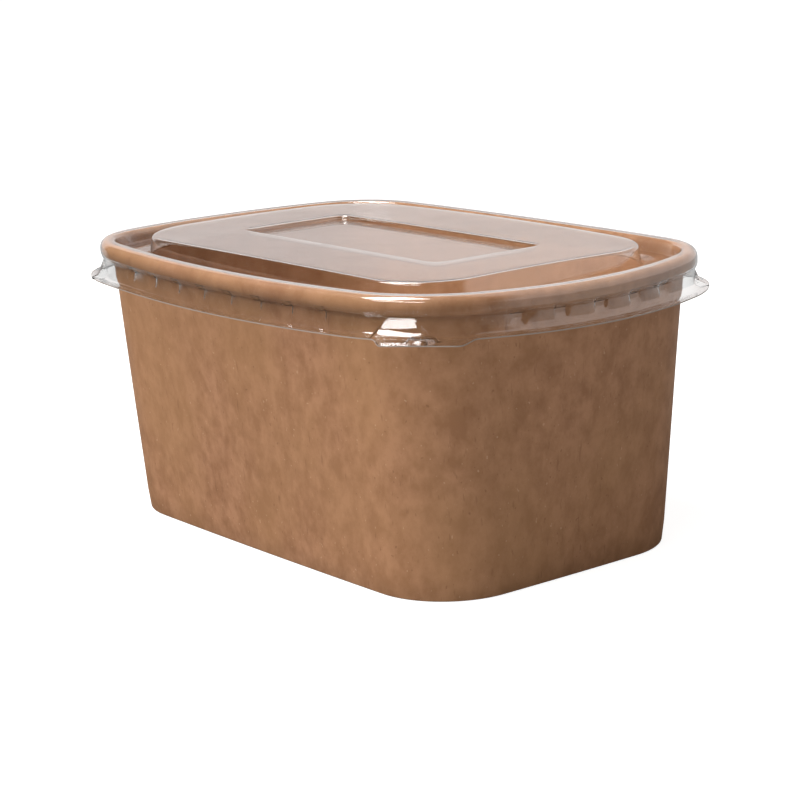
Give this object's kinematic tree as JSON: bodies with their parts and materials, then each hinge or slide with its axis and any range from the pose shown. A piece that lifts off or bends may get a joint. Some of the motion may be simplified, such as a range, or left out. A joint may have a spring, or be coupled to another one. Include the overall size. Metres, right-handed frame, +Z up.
{
  "type": "salad container",
  "caption": "Rectangular kraft-board food tub with tapered walls, rolled rim and hemmed foot, with a clear lid that presses over the rim and lifts straight off.",
  "frame": {"origin": "centre of the edge that the tub stands on", "axes": "+X along the long side, +Y along the short side, +Z up; the lid's lift tab is at the +X, -Y corner"},
  "size_m": [0.1778, 0.1238, 0.0808],
  "materials": {
    "kraft_board": "matte",
    "clear_film": "gloss"
  },
  "bodies": {
    "tub": {"sidewall": "kraft_board", "base_panel": "kraft_board"},
    "lid": {"lid": "clear_film"}
  },
  "joints": [
    {"name": "lid_lift", "type": "slide", "parent": "tub", "child": "lid", "axis": [0, 0, 1], "range_m": [0, 0.12]}
  ]
}
